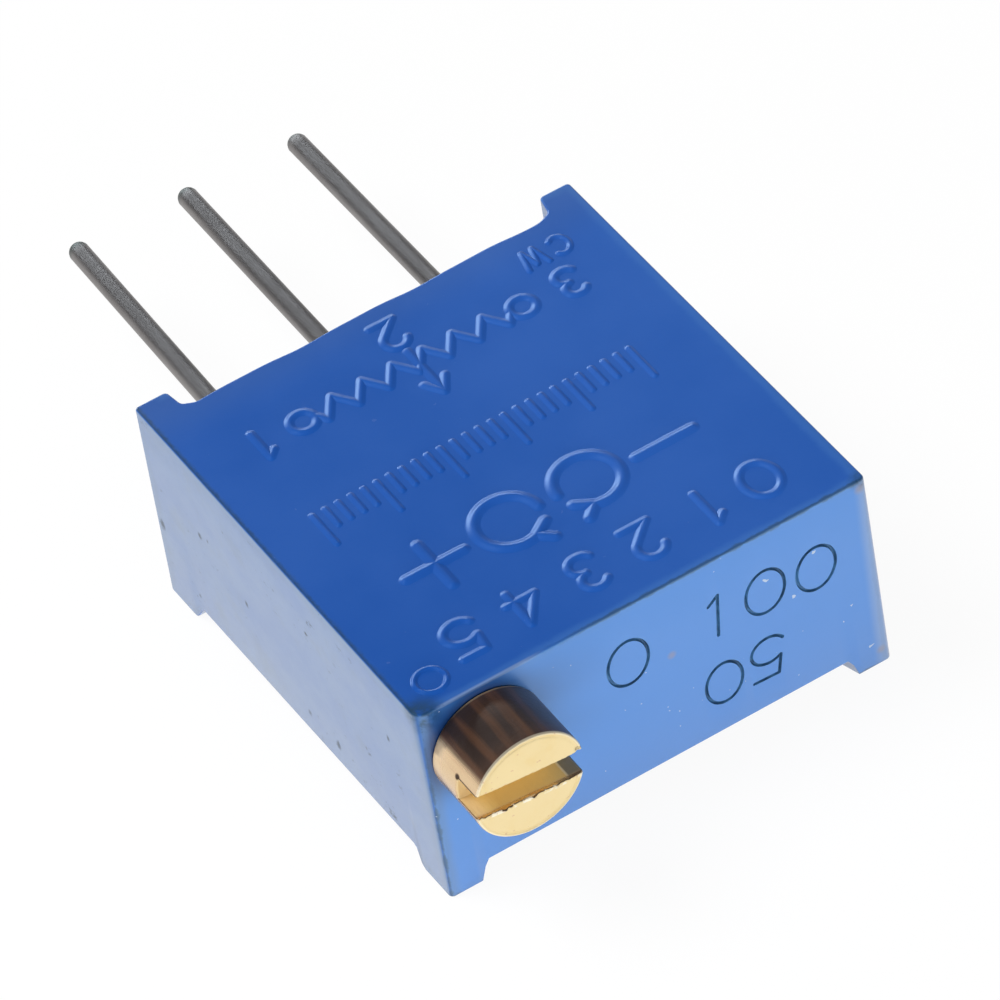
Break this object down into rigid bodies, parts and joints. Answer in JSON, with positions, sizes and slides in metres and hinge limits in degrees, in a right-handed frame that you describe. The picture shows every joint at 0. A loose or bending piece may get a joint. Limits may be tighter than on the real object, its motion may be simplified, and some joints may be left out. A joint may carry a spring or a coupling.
{
  "type": "trimmer potentiometer",
  "caption": "Square blue multi-turn trimmer potentiometer with a slotted brass screw on one face and in-line wire pins on the opposite face.",
  "frame": {"origin": "on the middle pin's axis, where it crosses the board's face, which is the plane of the two standoffs' ends", "axes": "+X along the row of pins towards terminal 3, +Y along the pins, out of the body into the board, +Z out of the label face"},
  "size_m": [0.0096, 0.0186, 0.0048],
  "materials": {
    "blue_plastic": "moulded blue plastic, satin",
    "screw_brass": "turned brass",
    "seal_rubber": "moulded rubber",
    "spring_steel": "stamped sheet",
    "wheel_plastic": "moulded natural plastic",
    "contact_metal": "thin spring sheet",
    "element_ceramic": "fired alumina",
    "resistive_film": "fired dark film",
    "conductor_film": "fired silver film",
    "tinned_wire": "dull tinned wire",
    "solder": "soft solder",
    "potting_resin": "cast resin"
  },
  "bodies": {
    "body": {"housing": "blue_plastic", "retaining_clip": "spring_steel", "ceramic_substrate": "element_ceramic", "resistance_track": "resistive_film", "collector_film": "conductor_film", "end_pad_1": "conductor_film", "end_pad_3": "conductor_film", "terminal_pin_1": "tinned_wire", "terminal_pin_2": "tinned_wire", "terminal_pin_3": "tinned_wire", "solder_joint_1": "solder", "solder_joint_2": "solder", "solder_joint_3": "solder", "potting_seal": "potting_resin"},
    "screw": {"adjustment_screw": "screw_brass", "shaft_o_ring": "seal_rubber"},
    "wheel": {"worm_wheel": "wheel_plastic", "contact_spring": "contact_metal"}
  },
  "joints": [
    {"name": "screw_turn", "type": "hinge", "parent": "body", "child": "screw", "pos_m": [-0.00351, -0.01003, 0.00139], "axis": [0, 1, 0], "range_deg": [-4500, 4500]},
    {"name": "wheel_turn", "type": "hinge", "parent": "body", "child": "wheel", "pos_m": [0.00044, -0.00526, 0], "axis": [0, 0, 1], "range_deg": [-140.7, 140.7]}
  ],
  "couplings": [
    {"joint": "wheel_turn", "follows": "screw_turn", "ratio": 0.03125}
  ]
}
